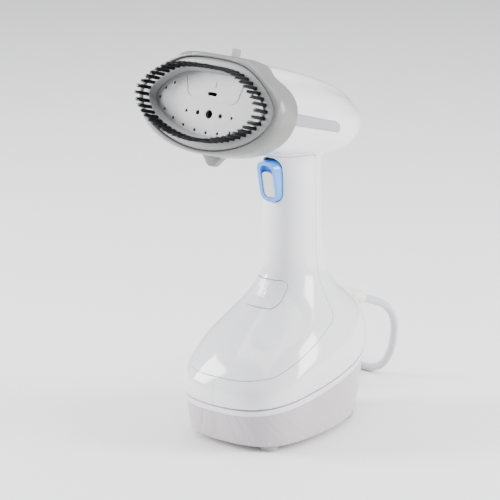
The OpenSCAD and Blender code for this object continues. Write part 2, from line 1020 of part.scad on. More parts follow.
module intake_filter() {
    color([0.4, 0.45, 0.5])
        at_axis()
            translate([0, port_y, tank_z + tank_wall + 0.6]) sleeve(5, 3, 8);
}

// ring between the intake tube and the socket in the deck
module intake_seal() {
    color([0.25, 0.25, 0.26])
        at_axis()
            translate([0, port_y, deck_z - 3])
                sleeve(5.4, 3, 4);
}

module tank_feet() {
    color([0.75, 0.75, 0.77])
        at_axis()
            for (p = [[31, -62], [24, 34]])
                for (side = [-1, 1])
                    translate([side * p.x, p.y, 0]) cylinder(r = 7, h = tank_z, $fn = 36);
}

module fill_cap() {
    color([0.62, 0.62, 0.65])
        at_axis() {
            translate([0, fill_face + 0.2, fill_z])
                rotate([-90, 0, 0]) cylinder(r = 8.2, h = 2.4, $fn = 40);
            translate([0, fill_face - 2, fill_z])
                rotate([-90, 0, 0]) cylinder(r = 5.4, h = 3, $fn = 36);
            translate([-3.8, cap_hinge_y - 1.2, cap_hinge_z]) cube([7.6, 2.2, 4]);
            translate([-6.6, cap_hinge_y, cap_hinge_z])
                rotate([0, 90, 0]) cylinder(r = 1.2, h = 13.2, $fn = 24);
        }
}

// ---- water and electrics inside ----

pump_z = 68;

module pump_body() {
    color([0.2, 0.2, 0.22])
        at_axis()
            translate([0, -46, pump_z]) rotate([-90, 0, 0]) {
                cylinder(r = 13, h = 40, $fn = 48);
                translate([0, 0, -12]) cylinder(r = 3.2, h = 12.5, $fn = 28);
                translate([0, 0, 39.5]) cylinder(r = 3.2, h = 12.5, $fn = 28);
            }
}

module pump_mounts() {
    color([0.1, 0.1, 0.1])
        at_axis()
            for (y = [-42, -28])
                difference() {
                    union() {
                        translate([0, y, pump_z]) rotate([-90, 0, 0])
                            cylinder(r = 15.5, h = 6, $fn = 48);
                        // foot pressed onto the sloping deck
                        translate([-9, y, deck_z + 2.4 + rise * y]) cube([18, 6, 12]);
                    }
                    translate([0, y - 1, pump_z]) rotate([-90, 0, 0])
                        cylinder(r = 13, h = 8, $fn = 48);
                }
}

suction_path = [[0, -66, 51.5], [0, -66, 54], [0, -66.6, 58], [0, -66.2, 63], [0, -64, 66.8],
    [0, -61, 68], [0, -58, 68]];
pressure_path = [[0, 6, 68], [0, 9, 68], [-2, 13.5, 70], [-5, 16, 76], [-9, 14, 90], [-11, 10, 110],
    [-11, 7, 140], [-11, 6, handle_z - 5], [-10, 5, handle_z + 25], [-7, -8, handle_z + 46],
    [-3, -24, handle_z + 58], [0, -40, handle_z + 63], [0, -51.8, handle_z + 66.2]];

module suction_hose() {
    color([0.85, 0.85, 0.82]) at_axis() tube(suction_path, 3, 10);
}

module pressure_hose() {
    color([0.85, 0.85, 0.82]) at_axis() tube(pressure_path, 2.6, 10);
}

module circuit_board() {
    color([0.1, 0.35, 0.2])
        at_axis() {
            translate([-7, 12, 128]) cube([20, 1.6, 42]);
            translate([-4, 13.5, 132]) cube([10, 5, 12]);
            translate([2, 13.5, 152]) rotate([-90, 0, 0]) cylinder(r = 4, h = 5.5, $fn = 28);
        }
}

// ---- cord ----

module cord_clamp() {
    color([0.3, 0.3, 0.32])
        at_outlet()
            difference() {
                translate([-10, -6, -30]) cube([20, 12, 9]);
                translate([0, 0, -31]) cylinder(r = cord_d / 2, h = 12, $fn = 32);
            }
}

module cord_socket() {
    color([0.92, 0.92, 0.92])
        at_outlet()
            rotate_extrude($fn = 48)
                polygon([[5 + run, -12], [7, -12], [7, -10], [6.3, -10], [6.3, 3], [5 + run, 3]]);
}

// turning sleeve that guides the cord out of the foot
module cord_sleeve() {
    color([0.95, 0.94, 0.92])
        at_outlet()
            rotate_extrude($fn = 48)
                polygon([
                    [3.3, -16],
                    [7, -16],
                    [7, -12.4],
                    [5, -12.4],
                    [5, 3.4],
                    [5.4, 3.4],
                    [5, 14],
                    [5.3, 15],
                    [5.3, 16.4],
                    [4.6, 16.8],
                    [4.6, 18],
                    [5.3, 18.4],
                    [5.3, 19.6],
                    [4.6, 20],
                    [4.6, 21.2],
                    [5.45, 21.8],
                    [5.5, sleeve_l - 3],
                    [4.6, sleeve_l],
                    [3.3, sleeve_l]
                ]);
}

// places along the outlet's axis, then by hand down to the ground
function out_pt(d) =
    [0, outlet_y + d * cos(outlet_tilt), outlet_z - d * sin(outlet_tilt)];
cord_path = [out_pt(-29), out_pt(-15), out_pt(0), out_pt(20), out_pt(40), out_pt(54),
    [0, 110, 68], [-1, 119, 62.5], [-2, 127, 54], [-4, 132, 43], [-7, 134.5, 31],
    [-11, 135.5, 20], [-17, 136, 11], [-26, 137, 5], [-37, 138, 3.1], [-50, 138.6, 3],
    [-66, 139, 3], [-80, 139, 3]];
tail_path = [
    for (i = [0 : 12])
        let (a = 135 + 11.25 * i)
        [coil_x + tail_r * cos(a), coil_y + tail_r * sin(a), 15 + 11.5 * i / 12]
];
coil_h = 18;

module power_cord() {
    color([0.8, 0.8, 0.83]) at_axis() tube(cord_path, cord_d / 2, 10);
}

module cord_coil() {
    color([0.8, 0.8, 0.83])
        translate([coil_x, axis_y + coil_y, 0])
            rotate_extrude($fn = 60)
                translate([coil_r, coil_h / 2]) soft_rect(4 * cord_d, coil_h, 3);
}

module cord_tail() {
    color([0.8, 0.8, 0.83]) at_axis() tube(tail_path, cord_d / 2, 10);
}

module plug_body() {
    color([0.8, 0.8, 0.83])
        translate([coil_x, axis_y + coil_y - tail_r, 26.5])
            rotate([0, 90, 0]) {
                cylinder(r1 = 4.5, r2 = 5.5, h = 9, $fn = 32);
                translate([-8, -11, 8]) cube([16, 22, 26]);
            }
}

module plug_blades() {
    color("gold")
        translate([coil_x + 34, axis_y + coil_y - tail_r, 26.5])
            for (y = [-6.35, 6.35])
                translate([0, y - 0.75, -3.2]) cube([17, 1.5, 6.4]);
}

module housing_screws() {
    color("silver")
        for (p = shell_screws)
            translate([-9, axis_y + p.x, p.y]) rotate([0, -90, 0]) screw(1.5, 17);
}

// ---- nodes ----

left_housing();
right_housing();
front_cover();
base_deck();
left_strip();
right_strip();
steam_plate();
plate_seal();
brush_frame();
brush_ring();
bristle_tufts();
brush_latch();
latch_spring();
boiler_body();
boiler_cover();
heating_element();
thermostat();
thermal_fuse();
heat_shield();
boiler_screws();
trigger();
trigger_lock();
trigger_pin();
trigger_bracket();
trigger_spring();
micro_switch();
switch_plunger();
release_button();
button_spring();
tank_latch();
water_tank();
tank_lid();
tank_feet();
fill_cap();
intake_tube();
intake_filter();
intake_seal();
pump_body();
pump_mounts();
suction_hose();
pressure_hose();
circuit_board();
cord_clamp();
cord_socket();
cord_sleeve();
power_cord();
cord_coil();
cord_tail();
plug_body();
plug_blades();
housing_screws();
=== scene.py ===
"""Looks of an upright handheld garment steamer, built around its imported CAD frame.

The white shells, the tank and the bands of the bristle attachment are lofted finely
from the same outlines as the CAD solids, so that their surfaces are smooth. The small
parts are the CAD nodes themselves, with shading and materials.
"""

import json
import math
import random

import bmesh
import bpy
from mathutils import Matrix, Vector

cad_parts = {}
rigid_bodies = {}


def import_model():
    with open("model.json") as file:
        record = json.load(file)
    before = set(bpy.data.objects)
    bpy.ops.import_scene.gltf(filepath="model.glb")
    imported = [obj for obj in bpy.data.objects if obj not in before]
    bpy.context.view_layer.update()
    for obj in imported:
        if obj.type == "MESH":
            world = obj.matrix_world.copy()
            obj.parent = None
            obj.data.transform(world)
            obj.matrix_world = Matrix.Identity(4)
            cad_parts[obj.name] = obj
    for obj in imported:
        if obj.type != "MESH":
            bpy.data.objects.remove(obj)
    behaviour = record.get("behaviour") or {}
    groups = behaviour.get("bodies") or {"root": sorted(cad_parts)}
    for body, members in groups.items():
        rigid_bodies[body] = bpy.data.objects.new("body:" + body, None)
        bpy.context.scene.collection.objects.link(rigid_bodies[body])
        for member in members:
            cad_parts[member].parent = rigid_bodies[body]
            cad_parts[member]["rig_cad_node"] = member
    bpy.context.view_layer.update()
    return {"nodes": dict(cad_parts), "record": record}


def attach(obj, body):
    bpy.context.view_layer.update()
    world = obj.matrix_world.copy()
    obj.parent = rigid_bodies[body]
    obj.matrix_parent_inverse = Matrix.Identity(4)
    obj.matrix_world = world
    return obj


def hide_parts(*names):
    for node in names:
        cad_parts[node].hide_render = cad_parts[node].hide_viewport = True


MM = 0.001

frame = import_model()
nodes = frame["nodes"]
scene = bpy.context.scene

# ---- driving dimensions in millimetres, the same as the CAD model's ----

AXIS_Y = 15
HANDLE_Z = 180
HANDLE_W = 19.5
FOOT_W = 51
WALL = 2.4
SEAM = 0.5
PITCH = math.radians(16)
FRAME_W = 66
LOOP_W = 55.5
OVAL_V = 8.5
FACE_Y = -92.5
FACE_Z = HANDLE_Z + 70.6
FRAME_U = 18
NECK_OFF = 3.2
TUFTS = 52
TUFT_LENGTH = 14.4
TANK_Z = 3.5
TANK_WALL = 2.2
DECK_Z = 44.5
RISE = 0.13
OUTLET = Vector((0, AXIS_Y + 50, 90.6))
OUTLET_TILT = math.radians(20)
CORD_D = 6
COIL_CENTRE = Vector((-84, AXIS_Y + 96))


# ---- camera, at the photograph's angle ----

TARGET = Vector((0, 15, 150)) * MM
CAMERA_AZIMUTH = math.radians(39.5)
CAMERA_ELEVATION = math.radians(14.3)
CAMERA_DISTANCE = 2.2
LENS = 213.84
# the object stands right of the picture's middle and a little above it
AIM_LEFT = 0.0306
AIM_DOWN = 0.017


def add_camera():
    back = Vector((
        math.sin(CAMERA_AZIMUTH) * math.cos(CAMERA_ELEVATION),
        -math.cos(CAMERA_AZIMUTH) * math.cos(CAMERA_ELEVATION),
        math.sin(CAMERA_ELEVATION),
    ))
    right = Vector((math.cos(CAMERA_AZIMUTH), math.sin(CAMERA_AZIMUTH), 0))
    up = back.cross(right)
    camera = bpy.data.objects.new("camera", bpy.data.cameras.new("camera"))
    scene.collection.objects.link(camera)
    camera.location = TARGET + back * CAMERA_DISTANCE
    aim = TARGET - right * AIM_LEFT - up * AIM_DOWN
    camera.rotation_euler = (aim - camera.location).to_track_quat("-Z", "Y").to_euler()
    camera.data.lens = LENS
    camera.data.clip_end = 20
    scene.camera = camera


add_camera()


# ---- cord ----

def outlet_point(distance):
    """Place along the outlet's axis, in millimetres from the middle of its socket."""
    along = Vector((0, math.cos(OUTLET_TILT), -math.sin(OUTLET_TILT)))
    return OUTLET + along * distance


SLEEVE_END = 37
# where the free cord runs, in millimetres
CORD_ROUTE = [outlet_point(d) for d in (SLEEVE_END, 42, 48, 54)] + [
    Vector(p) for p in (
        (0, 125, 68), (-1, 134, 62.5), (-2, 142, 54), (-4, 147, 43), (-7, 149.5, 31),
        (-11, 150.5, 20), (-17, 151, 11), (-26, 152, 5), (-37, 153, 3.1), (-50, 153.6, 3),
        (-66, 154, 3),
    )
]
COIL_INNER = 25
COIL_OUTER = 43
LAYER_TURNS = 3
STEPS_PER_TURN = 24
PLUG_Z = 26.5


def coil_stretch(points, start, turns, r0, r1, z0, z1):
    """Adds turns of the coil from the angle start, and returns the angle where they end."""
    steps = round(turns * STEPS_PER_TURN)
    for i in range(1, steps + 1):
        t = i / steps
        a = start + 2 * math.pi * turns * t
        r = r0 + (r1 - r0) * t
        points.append(Vector((
            COIL_CENTRE.x + r * math.cos(a), COIL_CENTRE.y + r * math.sin(a), z0 + (z1 - z0) * t,
        )))
    return start + 2 * math.pi * turns


def cord_points():
    points = list(CORD_ROUTE)
    points.append(Vector((COIL_CENTRE.x, COIL_CENTRE.y + COIL_OUTER, CORD_D / 2)))
    low, middle, high = CORD_D / 2, CORD_D * 1.5, CORD_D * 2.5
    a = coil_stretch(points, math.pi / 2, LAYER_TURNS, COIL_OUTER, COIL_INNER, low, low)
    a = coil_stretch(points, a, 0.5, COIL_INNER, COIL_INNER, low, middle)
    a = coil_stretch(points, a, LAYER_TURNS, COIL_INNER, COIL_OUTER, middle, middle)
    a = coil_stretch(points, a, 0.5, COIL_OUTER, COIL_OUTER, middle, high)
    a = coil_stretch(points, a, LAYER_TURNS, COIL_OUTER, COIL_INNER, high, high)
    a = coil_stretch(points, a, 0.125, COIL_INNER, COIL_INNER, high, high)
    coil_stretch(points, a, 0.375, COIL_INNER, COIL_INNER, high, PLUG_Z)
    return points


def add_cord():
    points = cord_points()
    curve = bpy.data.curves.new("mains_cord", "CURVE")
    curve.dimensions = "3D"
    # each point's radius is the real one, so the bevel is a unit tube
    curve.bevel_depth = 1
    curve.bevel_resolution = 5
    curve.resolution_u = 4
    spline = curve.splines.new("BEZIER")
    spline.bezier_points.add(len(points) - 1)
    for knot, point in zip(spline.bezier_points, points):
        knot.co = point * MM
        knot.radius = CORD_D / 2 * MM
        knot.handle_left_type = "AUTO"
        knot.handle_right_type = "AUTO"
    cord = bpy.data.objects.new("mains_cord", curve)
    scene.collection.objects.link(cord)
    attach(cord, "main")
    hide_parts("power_cord", "cord_coil", "cord_tail")
    return cord


mains_cord = add_cord()


# ---- outlines ----

def spow(value, power):
    return math.copysign(abs(value) ** power, value)


def catmull(a, b, c, d, t):
    return [
        0.5 * (2 * q + (r - p) * t + (2 * p - 5 * q + 4 * r - s) * t * t
               + (3 * q - p - 3 * r + s) * t ** 3)
        for p, q, r, s in zip(a, b, c, d)
    ]


def smooth(rows, steps):
    """Rows with extra rows between each pair, on a smooth curve."""
    last = len(rows) - 1
    out = []
    for i in range(last):
        for j in range(steps):
            out.append(catmull(
                rows[max(i - 1, 0)], rows[i], rows[i + 1], rows[min(i + 2, last)], j / steps,
            ))
    out.append(list(rows[-1]))
    return out


def oval_r(a, wide, tall, n):
    return (abs(math.cos(a) / wide) ** n + abs(math.sin(a) / tall) ** n) ** (-1 / n)


def hood_r(a, wide, below, above, hump_w, hump_h):
    """Outline of the head: a wide oval with a squarer hump on top."""
    if math.sin(a) < 0:
        return oval_r(a, wide, below, 2.2)
    low = oval_r(a, wide, above, 2.2)
    hump = oval_r(a, hump_w, hump_h, 6)
    return (low ** 14 + hump ** 14) ** (1 / 14)


def frame_r(a, off):
    return hood_r(a, FRAME_W + off, 37.5 + off, 29.8 + off, 38 + off, 34.5 + off)


def loop_r(a, off):
    """Outline of the tuft loop: an oval whose top is cut flat."""
    if math.sin(a) < 0:
        return oval_r(a, LOOP_W + off, 28 + off, 1.9)
    side = oval_r(a, LOOP_W + off, 31.5 + off, 1.5)
    top = oval_r(a, 90 + off, 24.8 + off, 3)
    return (side ** -14 + top ** -14) ** (-1 / 14)


def head_xy(a, r):
    return (r * math.cos(a), OVAL_V + r * math.sin(a))


def foot_ring(row, inset, count):
    """Section of the foot, handle or tank, drawn in by inset. row holds the height, front,
    rear, widest place, half width, front and rear roundness and slope."""
    height, front, rear, middle, half, round_front, round_rear, slope = row
    ring = []
    for i in range(count):
        a = 2 * math.pi * (i + 0.5) / count
        n = round_front if math.sin(a) < 0 else round_rear
        reach = (middle - front if math.sin(a) < 0 else rear - middle) - inset
        y = middle + reach * spow(math.sin(a), 2 / n)
        ring.append(Vector((
            (half - inset) * spow(math.cos(a), 2 / n), AXIS_Y + y, height + slope * y,
        )))
    return ring


IN_HEAD = (
    Matrix.Translation((0, AXIS_Y + FACE_Y, FACE_Z)) @ Matrix.Rotation(math.pi / 2 - PITCH, 4, "X")
)


def head_ring(row, inset, count):
    """Section of the head, in the frame of the object. row holds the distance behind the
    plate, half width, depth, height, centre height, hump half width and hump height."""
    behind, wide, below, above, centre, hump_w, hump_h = row
    ring = []
    for i in range(count):
        a = 2 * math.pi * (i + 0.5) / count
        r = hood_r(a, wide - inset, below - inset, above - inset, hump_w - inset, hump_h - inset)
        ring.append(IN_HEAD @ Vector((r * math.cos(a), centre + r * math.sin(a), inset - behind)))
    return ring


def deck_row(z):
    return [z, -88, 71, -35, FOOT_W - 1, 2.7, 2.0, RISE]


FOOT_ROWS = [
    deck_row(DECK_Z),
    [50, -90, 72.5, -34, FOOT_W, 2.7, 2.0, RISE],
    [60, -88.5, 72, -30, FOOT_W, 2.6, 2.0, 0.12],
    [70, -81, 69, -25, FOOT_W - 2.5, 2.4, 2.0, 0.10],
    [80, -69, 64, -18, FOOT_W - 7, 2.3, 2.0, 0.08],
    [90, -53, 54.5, -10, FOOT_W - 14, 2.2, 2.0, 0.06],
    [100, -38, 44, -4, 30, 2.2, 2.0, 0.04],
    [110, -29.5, 36, 0, 24.5, 2.2, 2.0, 0.02],
    [120, -25.5, 31.5, 1, HANDLE_W + 2, 2.2, 2.0, 0],
    [135, -23.5, 28, 1, HANDLE_W + 0.5, 2.2, 2.0, 0],
    [155, -23, 25, 0, HANDLE_W, 2.2, 2.1, 0],
    [HANDLE_Z, -22.5, 23, 0, HANDLE_W, 2.2, 2.2, 0],
    [HANDLE_Z + 20, -24, 22.5, 0, HANDLE_W, 2.2, 2.2, -0.05],
    [HANDLE_Z + 32, -30, 25.5, 0, HANDLE_W + 2, 2.2, 2.2, -0.1],
    [HANDLE_Z + 42, -40, 33, 0, HANDLE_W + 6, 2.2, 2.2, -0.15],
]
HEAD_ROWS = [
    [FRAME_U + 0.6, FRAME_W - 3.5, 35, 28, OVAL_V, 36.5, 32.8],
    [30, FRAME_W - 4, 34.5, 28.5, 9, 36, 32.6],
    [45, FRAME_W - 6, 33, 29, 10, 35.5, 31.5],
    [70, FRAME_W - 9.5, 31, 28, 11.5, 33.5, 29],
    [95, FRAME_W - 15.5, 29, 26, 12, 30.5, 26.5],
    [118, FRAME_W - 24, 26, 23, 12, 26.5, 23.3],
    [136, 32, 21, 18, 12, 21.5, 18.2],
    [147, 22, 15, 12.5, 12, 14, 12.6],
    [152, 11, 7.5, 6.5, 12, 8, 6.5],
]
TANK_ROWS = [
    [TANK_Z, -78, 57, -35, FOOT_W - 7, 2.8, 2, 0],
    [TANK_Z + 1.6, -81, 60, -35, FOOT_W - 4.4, 2.8, 2, 0],
    [TANK_Z + 5.5, -82.5, 62, -35, FOOT_W - 3.4, 2.8, 2, 0.01],
    [DECK_Z - 4.8, -87, 70, -35, FOOT_W - 1.6, 2.7, 2, RISE],
]


# ---- mesh building ----

def link(mesh, name):
    obj = bpy.data.objects.new(name, mesh)
    scene.collection.objects.link(obj)
    return obj


def solid(name, points, faces):
    """Object from points in millimetres, with its faces turned outwards."""
    mesh = bpy.data.meshes.new(name)
    mesh.from_pydata([tuple(Vector(p) * MM) for p in points], [], faces)
    shape = bmesh.new()
    shape.from_mesh(mesh)
    bmesh.ops.recalc_face_normals(shape, faces=shape.faces)
    shape.to_mesh(mesh)
    shape.free()
    return link(mesh, name)


def loft(name, rings):
    n = len(rings[0])
    points = [p for ring in rings for p in ring]
    faces = [tuple(range(n)), tuple((len(rings) - 1) * n + i for i in range(n))]
    for j in range(len(rings) - 1):
        for i in range(n):
            k = (i + 1) % n
            faces.append((j * n + i, j * n + k, (j + 1) * n + k, (j + 1) * n + i))
    return solid(name, points, faces)


def band(name, profile, count):
    """Closed band around the head. Each profile point is 1 for the frame's outline or 0 for
    the tuft loop, the growth and the height."""
    m = len(profile)
    points = []
    for i in range(count):
        a = 2 * math.pi * i / count
        for share, off, height in profile:
            x, y = head_xy(a, share * frame_r(a, off) + (1 - share) * loop_r(a, off))
            points.append(IN_HEAD @ Vector((x, y, height)))
    faces = [
        (i * m + j, (i + 1) % count * m + j, (i + 1) % count * m + (j + 1) % m, i * m + (j + 1) % m)
        for i in range(count) for j in range(m)
    ]
    return solid(name, points, faces)


def prism(name, outline, z0, z1, place):
    """Straight solid over an outline, from z0 to z1 of the frame that place gives."""
    n = len(outline)
    points = [place @ Vector((x, y, z)) for z in (z0, z1) for x, y in outline]
    faces = [tuple(range(n)), tuple(range(n, 2 * n))]
    faces += [(i, (i + 1) % n, n + (i + 1) % n, n + i) for i in range(n)]
    return solid(name, points, faces)


def box_solid(name, low, high, place=Matrix.Identity(4)):
    outline = [(low[0], low[1]), (high[0], low[1]), (high[0], high[1]), (low[0], high[1])]
    return prism(name, outline, low[2], high[2], place)


def rounded_rect(w, h, r, centre=(0, 0), steps=8):
    outline = []
    for k, (sx, sy) in enumerate(((1, 1), (-1, 1), (-1, -1), (1, -1))):
        for i in range(steps + 1):
            a = math.pi / 2 * (k + i / steps)
            outline.append((
                centre[0] + sx * (w / 2 - r) + r * math.cos(a),
                centre[1] + sy * (h / 2 - r) + r * math.sin(a),
            ))
    return outline


def remove(obj):
    data = obj.data
    bpy.data.objects.remove(obj)
    bpy.data.meshes.remove(data)


def bake(obj):
    """Puts the result of the object's modifiers into its mesh."""
    graph = bpy.context.evaluated_depsgraph_get()
    mesh = bpy.data.meshes.new_from_object(obj.evaluated_get(graph))
    old = obj.data
    obj.modifiers.clear()
    obj.data = mesh
    bpy.data.meshes.remove(old)
    return obj


def combine(obj, other, operation, keep=False):
    """Boolean of two closed objects, kept in the first one."""
    cut = obj.modifiers.new("cut", "BOOLEAN")
    cut.operation = operation
    cut.solver = "MANIFOLD"
    cut.object = other
    bake(obj)
    if not keep:
        remove(other)
    return obj


def copy_of(obj, name):
    return link(obj.data.copy(), name)


def remeshed(obj, voxel, rounds):
    """Melts the object's parts into one even skin and softens it a little."""
    melt = obj.modifiers.new("melt", "REMESH")
    melt.mode = "VOXEL"
    melt.voxel_size = voxel * MM
    soften = obj.modifiers.new("soften", "SMOOTH")
    soften.factor = 0.5
    soften.iterations = rounds
    return bake(obj)


SHARP = math.radians(32)


def shade(obj, angle=SHARP):
    """Smooth shading with hard edges where faces meet at more than the angle."""
    shape = bmesh.new()
    shape.from_mesh(obj.data)
    bmesh.ops.remove_doubles(shape, verts=shape.verts, dist=1e-6)
    for face in shape.faces:
        face.smooth = True
    for edge in shape.edges:
        edge.smooth = len(edge.link_faces) == 2 and edge.calc_face_angle(0) < angle
    shape.to_mesh(obj.data)
    shape.free()
    return obj


def softened(obj, width, angle=SHARP, segments=3):
    """Small round on the sharp edges."""
    bevel = obj.modifiers.new("round", "BEVEL")
    bevel.width = width * MM
    bevel.segments = segments
    bevel.limit_method = "ANGLE"
    bevel.angle_limit = angle
    bevel.harden_normals = False
    return bake(obj)


# ---- outer forms ----

FINE = 176


def foot_form(name, inset, count, steps, below=0):
    rows = smooth(FOOT_ROWS, steps)
    rows[0] = deck_row(DECK_Z - below)
    return loft(name, [foot_ring(row, inset, count) for row in rows])


def head_form(name, inset, count, steps):
    return loft(name, [head_ring(row, inset, count) for row in smooth(HEAD_ROWS, steps)])


def neck(name, off, front, rear, count):
    outline = [
        head_xy(a, loop_r(a, off)) for a in (2 * math.pi * i / count for i in range(count))
    ]
    return prism(name, outline, -rear, -front, IN_HEAD)


FACING_FRONT = Matrix.Rotation(math.pi / 2, 4, "X")
FROM_SIDE = Matrix(((0, 0, 1, 0), (1, 0, 0, AXIS_Y), (0, 1, 0, 0), (0, 0, 0, 1)))


def facing_front(y, z):
    return Matrix.Translation((0, AXIS_Y + y, z)) @ FACING_FRONT


COVER_OUTLINE = [
    (5, HANDLE_Z + 29), (5, 88), (-1, 85), (-68, 57.5), (-84, 54.5), (-130, 54.5),
    (-130, HANDLE_Z + 29),
]
COVER_ROUND = 9


def cover_region(name, grow):
    """Region of the front cover seen from the side, with rounded corners, grown by grow."""
    corners = [Vector(p) for p in COVER_OUTLINE]
    n = len(corners)
    normals = []
    for i in range(n):
        along = (corners[(i + 1) % n] - corners[i]).normalized()
        normals.append(Vector((-along.y, along.x)))
    outline = []
    for i in range(n):
        before, after = normals[i - 1], normals[i]
        middle = (before + after).normalized()
        inner = corners[i] - middle * (COVER_ROUND / middle.dot(after))
        start = math.atan2(before.y, before.x)
        turn = math.atan2(before.x * after.y - before.y * after.x, before.dot(after))
        steps = max(2, round(abs(turn) * 10))
        for k in range(steps + 1):
            a = start + turn * k / steps
            outline.append((
                inner.x + (COVER_ROUND + grow) * math.cos(a),
                inner.y + (COVER_ROUND + grow) * math.sin(a),
            ))
    return prism(name, outline, -80, 80, FROM_SIDE)


STRIP_BACK = 85.5
HEAD_SIDE = IN_HEAD @ Matrix.Rotation(-math.pi / 2, 4, "Y")


def strip_recess(name, grow, inner):
    outline = [
        (4 - FRAME_U, 2.8 - grow), (-STRIP_BACK - grow, 4 - grow), (-STRIP_BACK - grow, 6),
        (-82 - grow, 9.2 + grow), (-75, 11.2 + grow), (4 - FRAME_U, 11.2 + grow),
    ]
    return prism(name, outline, inner, 70, HEAD_SIDE)


TRIGGER_W = 8.5
TRIGGER_LOW = HANDLE_Z - 6
TRIGGER_HIGH = HANDLE_Z + 25
BUTTON_Z = 106.5
BUTTON_W = 15
BUTTON_H = 9
VOXEL = 0.9
MELT_ROUNDS = 6


THROAT_LOW = 202
THROAT_HIGH = 236
THROAT_FADE = 9
THROAT_ROUNDS = 260


def flare_throat(skin):
    """Rounds the inner corner where the handle runs up into the head."""
    group = skin.vertex_groups.new(name="throat")
    for vertex in skin.data.vertices:
        z = vertex.co.z / MM
        y = vertex.co.y / MM
        inside = min(z - THROAT_LOW, THROAT_HIGH - z, y + 40, 80 - y)
        if inside > 0:
            group.add([vertex.index], min(1, inside / THROAT_FADE), "REPLACE")
    soften = skin.modifiers.new("flare", "SMOOTH")
    soften.factor = 0.5
    soften.iterations = THROAT_ROUNDS
    soften.vertex_group = "throat"
    return bake(skin)


def white_shell():
    """The white shells in one piece, hollow, with their windows cut."""
    skin = foot_form("skin", 0, FINE, 6)
    combine(skin, head_form("head", 0, FINE, 6), "UNION")
    combine(skin, neck("neck", NECK_OFF, 4, FRAME_U + 4, FINE), "UNION")
    remeshed(skin, VOXEL, MELT_ROUNDS)
    flare_throat(skin)
    combine(skin, foot_form("hollow", WALL, 72, 3, 3), "DIFFERENCE")
    rear_head = head_form("hollow_head", WALL, 72, 3)
    reach = box_solid("reach", (-100, -100, -220 - FRAME_U), (117, 117, -3 - FRAME_U), IN_HEAD)
    combine(rear_head, reach, "INTERSECT")
    combine(skin, rear_head, "DIFFERENCE")
    combine(skin, neck("bore", NECK_OFF - WALL, 2, FRAME_U + 8, 72), "DIFFERENCE")
    window = rounded_rect(2 * TRIGGER_W + 1.2, TRIGGER_HIGH - TRIGGER_LOW + 3.4, 7.2)
    place = facing_front(-15, (TRIGGER_HIGH + TRIGGER_LOW) / 2 + 0.9)
    combine(skin, prism("window", window, 0, 30, place), "DIFFERENCE")
    window = rounded_rect(2 * BUTTON_W + 1.2, 2 * BUTTON_H + 1.2, 5.6)
    combine(skin, prism("window", window, 0, 40, facing_front(-10, BUTTON_Z)), "DIFFERENCE")
    circle = [(6.4 * math.cos(a), 6.4 * math.sin(a)) for a in (math.pi * i / 24 for i in range(48))]
    along = Matrix.Translation(OUTLET) @ Matrix.Rotation(-math.pi / 2 - OUTLET_TILT, 4, "X")
    combine(skin, prism("outlet", circle, -14, 26, along), "DIFFERENCE")
    slot = box_solid("slot", (-1.9, 30, -27.5), (1.9, 55, -13), IN_HEAD)
    combine(skin, slot, "DIFFERENCE")
    return skin


def mirrored(obj, name):
    twin = copy_of(obj, name)
    twin.data.transform(Matrix.Diagonal((-1, 1, 1, 1)))
    twin.data.flip_normals()
    return twin


def add_shells():
    """Rear and head shell, front cover, and the grey strips in the head's sides."""
    skin = white_shell()
    cover = copy_of(skin, "cover_shell")
    combine(cover, cover_region("region", -SEAM / 2), "INTERSECT")
    rear = skin
    rear.name = "rear_shell"
    combine(rear, cover_region("region", SEAM / 2), "DIFFERENCE")
    for side in (1, -1):
        recess = strip_recess("recess", 0.2, 0)
        combine(recess, head_form("floor", 1.2, FINE, 6), "DIFFERENCE")
        if side < 0:
            recess.data.transform(Matrix.Diagonal((-1, 1, 1, 1)))
            recess.data.flip_normals()
        combine(rear, recess, "DIFFERENCE")
    gap = box_solid("gap", (-0.12, -200, 0), (0.12, 200, 400))
    combine(rear, gap, "DIFFERENCE")
    strip = head_form("strip_a", 0.2, FINE, 6)
    combine(strip, head_form("floor", 1.2, FINE, 6), "DIFFERENCE")
    combine(strip, strip_recess("region", 0, 10), "INTERSECT")
    behind = box_solid("behind", (-100, -100, -219), (100, 100, -1 - FRAME_U), IN_HEAD)
    combine(strip, behind, "INTERSECT")
    other = mirrored(strip, "strip_b")
    for piece in (rear, cover, strip, other):
        shade(piece)
        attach(piece, "main")
    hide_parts("left_housing", "right_housing")
    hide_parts("front_cover")
    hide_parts("left_strip")
    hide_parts("right_strip")
    return rear, cover, strip, other


# ---- bristle attachment ----

RING = 240


def add_collar():
    collar = band("collar", [
        (0, 6.8, 4.2), (0, 7.1, 4.7), (0, 7.6, 4.95), (0.35, 5.2, 4.5), (0.7, 2.2, 3.3),
        (1, -0.8, 1.7), (1, -0.15, 0.4), (1, 0, -3), (1, 0.2, -10), (1, -0.5, -17.4),
        (1, -1.2, -FRAME_U), (1, -2.4, -FRAME_U), (1, -2, -4.5), (0, 6, -2.5), (0, 3.9, -2.5),
        (0, 3.9, 0), (0, 6.8, 0),
    ], RING)
    tab = prism("tab", [
        (-13, -26.8), (-8, -30), (-4, -34.6), (-1.6, -36.2), (1.6, -36.2), (4, -34.6), (8, -30),
        (13, -26.8), (8, -26.1), (-8, -26.1),
    ], 0.5 - FRAME_U, 7 - FRAME_U, IN_HEAD)
    softened(tab, 0.8)
    combine(collar, tab, "UNION")
    combine(collar, box_solid("notch", (-2, 32, -19), (2, 52, -14), IN_HEAD), "DIFFERENCE")
    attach(shade(collar, math.radians(40)), "brush")
    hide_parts("brush_frame")
    return collar


